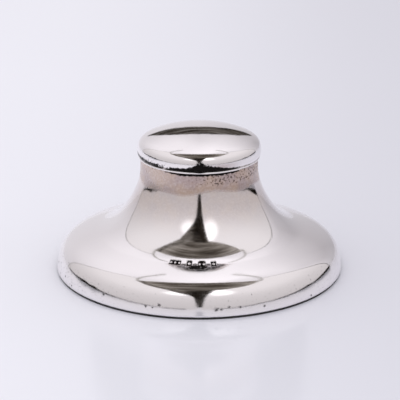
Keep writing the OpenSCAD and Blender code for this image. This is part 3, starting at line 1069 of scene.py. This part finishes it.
class INKWELL_OT_lid_inside(bpy.types.Operator):
    """Fits the bezel and the dished lining inside the lid"""

    bl_idname = "inkwell.lid_inside"
    bl_label = "Lid's bezel and lining"

    def execute(self, context):
        finish = context.scene.inkwell_finish
        satin = silver_material("sterling_silver_lining", finish, finish.satin)
        a, b = low("lid_bezel"), high("lid_bezel")
        edge = low("lid_cap").z
        outer, inner = 22.3, 22.3 - 0.7  # the bezel's radii
        reach, top = b.x - 0.15, edge + 0.6  # how far out its flange goes, and the flange's top
        corners = [(inner, a.z), (outer, a.z), (outer, edge), (reach, edge)]
        corners += [(reach, top), (outer, top), (outer, b.z), (inner, b.z)]
        bezel = lathe("lid_bezel_ring", rounded(corners, 0.15), 160)
        dress(bezel, "lid", satin, "silver", "lid_bezel")
        stain_and_shade(bezel, "film", lambda x, y, z: 0.45 + 0 * z)
        stain_and_shade(bezel, "speckled", lambda x, y, z: 0.5 + 0 * z)

        a, b = low("lid_lining"), high("lid_lining")
        thickness = 0.5
        rise = b.z - a.z - thickness
        radii = np.linspace(0, b.x, 40)
        under = np.stack((radii, a.z + rise * (1 - (radii / b.x) ** 2)), axis=1)
        over = under[::-1] + (0, thickness)
        lining = lathe("lid_lining_dish", np.vstack((under, over)), 160)
        dress(lining, "lid", satin, "silver", "lid_lining")
        stain_and_shade(lining, "film", lambda x, y, z: 0.25 + 0.5 * smooth_step(np.hypot(x, y), 14, 21))
        stain_and_shade(lining, "speckled", lambda x, y, z: 0.35 + 0 * z)
        return {"FINISHED"}


PIN = np.array(frame["record"]["behaviour"]["joints"][0]["pos_m"]) / MM  # the lid's hinge
TUBE_RADIUS = 1.5
TUBE_GAP = 0.1  # between two tubes


def strap(name, node, inner, heights):
    """A hinge's strap: a bar that is hollowed on one side to lie on a turned surface, whose radius at each
    height inner gives."""
    a, b = low(node), high(node)
    loops = []
    for x in np.linspace(a.x, b.x, 33):
        hollow = [(x, math.sqrt(inner(z) ** 2 - x * x), z) for z in heights]
        loops.append(np.array([(x, b.y, b.z), (x, b.y, a.z), *hollow]))
    return soften(loft(name, loops[::-1], closed=False, capped=True), 0.22)


def knuckles(name, node, places, bore, tongue):
    """A hinge's tubes, each with the tongue that joins it to its strap. tongue is (back or front, height) of
    the tongue's corner, from the pin."""
    length = (high("hinge_body_knuckles").x - low("hinge_body_knuckles").x + TUBE_GAP) / 5
    corner = math.atan2(tongue[1], tongue[0])
    angles = np.sort(np.append(np.linspace(-math.pi, math.pi, 56, endpoint=False), corner))
    to_y = np.where(np.sign(np.cos(angles)) == np.sign(tongue[0]), np.abs(tongue[0] / np.cos(angles)), 0)
    to_z = np.where(np.sign(np.sin(angles)) == np.sign(tongue[1]), np.abs(tongue[1] / np.sin(angles)), 0)
    radii = np.maximum(TUBE_RADIUS, np.minimum(to_y, to_z))
    parts = []
    for place in places:
        middle, reach = (place - 2) * length, (length - TUBE_GAP) / 2
        ends = (middle - reach, middle + reach)

        def ring(x, radius):
            y, z = radius * np.cos(angles), radius * np.sin(angles)
            return np.stack((x + 0 * y, PIN[1] + y, PIN[2] + z), axis=1)

        parts.append([ring(ends[0], bore), ring(ends[0], radii), ring(ends[1], radii), ring(ends[1], bore)])
    return [soften(loft(f"{name}_{i + 1}", part), 0.12, 2) for i, part in enumerate(parts)]


class INKWELL_OT_hinge(bpy.types.Operator):
    """Builds the five-tube hinge and its pin"""

    bl_idname = "inkwell.hinge"
    bl_label = "Hinge"

    def execute(self, context):
        shape, finish = context.scene.inkwell_shape, context.scene.inkwell_finish
        silver = silver_material("sterling_silver_hinge", finish, finish.polish + 0.05)
        neck_radius = high("well_collar").x + shape.sheet / MM
        a, b = low("hinge_body_plate"), high("hinge_body_plate")
        plate = strap("hinge_strap_body", "hinge_body_plate", lambda z: neck_radius, (a.z, b.z))
        dress(plate, "base", silver, "silver", "hinge_body_plate")
        outline = lid_outline(shape)
        outline = outline[outline[:, 0] > shape.dome_radius / MM]
        a, b = low("hinge_lid_plate"), high("hinge_lid_plate")
        plate = strap(
            "hinge_strap_lid",
            "hinge_lid_plate",
            lambda z: float(np.interp(z, outline[:, 1], outline[:, 0])),
            np.linspace(a.z, b.z, 5),
        )
        dress(plate, "lid", silver, "silver", "hinge_lid_plate")
        body_tongue = (-TUBE_RADIUS, high("hinge_body_plate").z - PIN[2])
        for tube in knuckles("hinge_tube_body", "hinge_body_knuckles", (0, 2, 4), 0.7, body_tongue):
            dress(tube, "base", silver, "silver", "hinge_body_knuckles")
        lid_tongue = (low("hinge_lid_knuckles").y - PIN[1], a.z - PIN[2])
        for tube in knuckles("hinge_tube_lid", "hinge_lid_knuckles", (1, 3), 0.73, lid_tongue):
            dress(tube, "lid", silver, "silver", "hinge_lid_knuckles")
        a, b = low("hinge_pin"), high("hinge_pin")
        radius = (b.y - a.y) / 2
        turn = np.radians(np.arange(0, 360, 12))
        profile = [(a.x, 0), (a.x + 0.06, 0.6), (a.x + 0.2, 0.93), (a.x + 0.4, 1)]
        profile += [(-x, share_of) for x, share_of in profile[::-1]]
        loops = []
        for x, share_of in profile:
            circle = radius * share_of * np.stack((0 * turn, np.cos(turn), np.sin(turn)), axis=1)
            loops.append((circle + (x, PIN[1], PIN[2]))[: 1 if share_of == 0 else None])
        pin = loft("hinge_rod", loops, closed=False)
        dress(pin, "base", silver, "pin_silver", "hinge_pin")
        return {"FINISHED"}


class INKWELL_PT_panel(bpy.types.Panel):
    """Lists the inkwell's operators"""

    bl_idname = "INKWELL_PT_panel"
    bl_label = "Inkwell"
    bl_space_type = "VIEW_3D"
    bl_region_type = "UI"
    bl_category = "Inkwell"

    def draw(self, context):
        for operator in OPERATORS:
            self.layout.operator(operator.bl_idname)


OPERATORS = (
    INKWELL_OT_studio,
    INKWELL_OT_body,
    INKWELL_OT_mouth,
    INKWELL_OT_base,
    INKWELL_OT_well,
    INKWELL_OT_liner,
    INKWELL_OT_lid,
    INKWELL_OT_lid_inside,
    INKWELL_OT_hinge,
)
GROUPS = {"inkwell_shape": InkwellShape, "inkwell_finish": InkwellFinish, "inkwell_stage": InkwellStage}
CLASSES = (*GROUPS.values(), *OPERATORS, INKWELL_PT_panel)


def register():
    for cls in CLASSES:
        bpy.utils.register_class(cls)
    for name, group in GROUPS.items():
        setattr(bpy.types.Scene, name, bpy.props.PointerProperty(type=group))


def unregister():
    for name in GROUPS:
        delattr(bpy.types.Scene, name)
    for cls in reversed(CLASSES):
        bpy.utils.unregister_class(cls)


def main():
    register()
    for operator in OPERATORS:
        getattr(bpy.ops.inkwell, operator.bl_idname.split(".")[1])()
    boxes = {"cad": CAD_BOX, "visual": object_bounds()}
    {name: [list(corner) for corner in box] for name, box in boxes.items()}


if __name__ == "__main__":
    main()
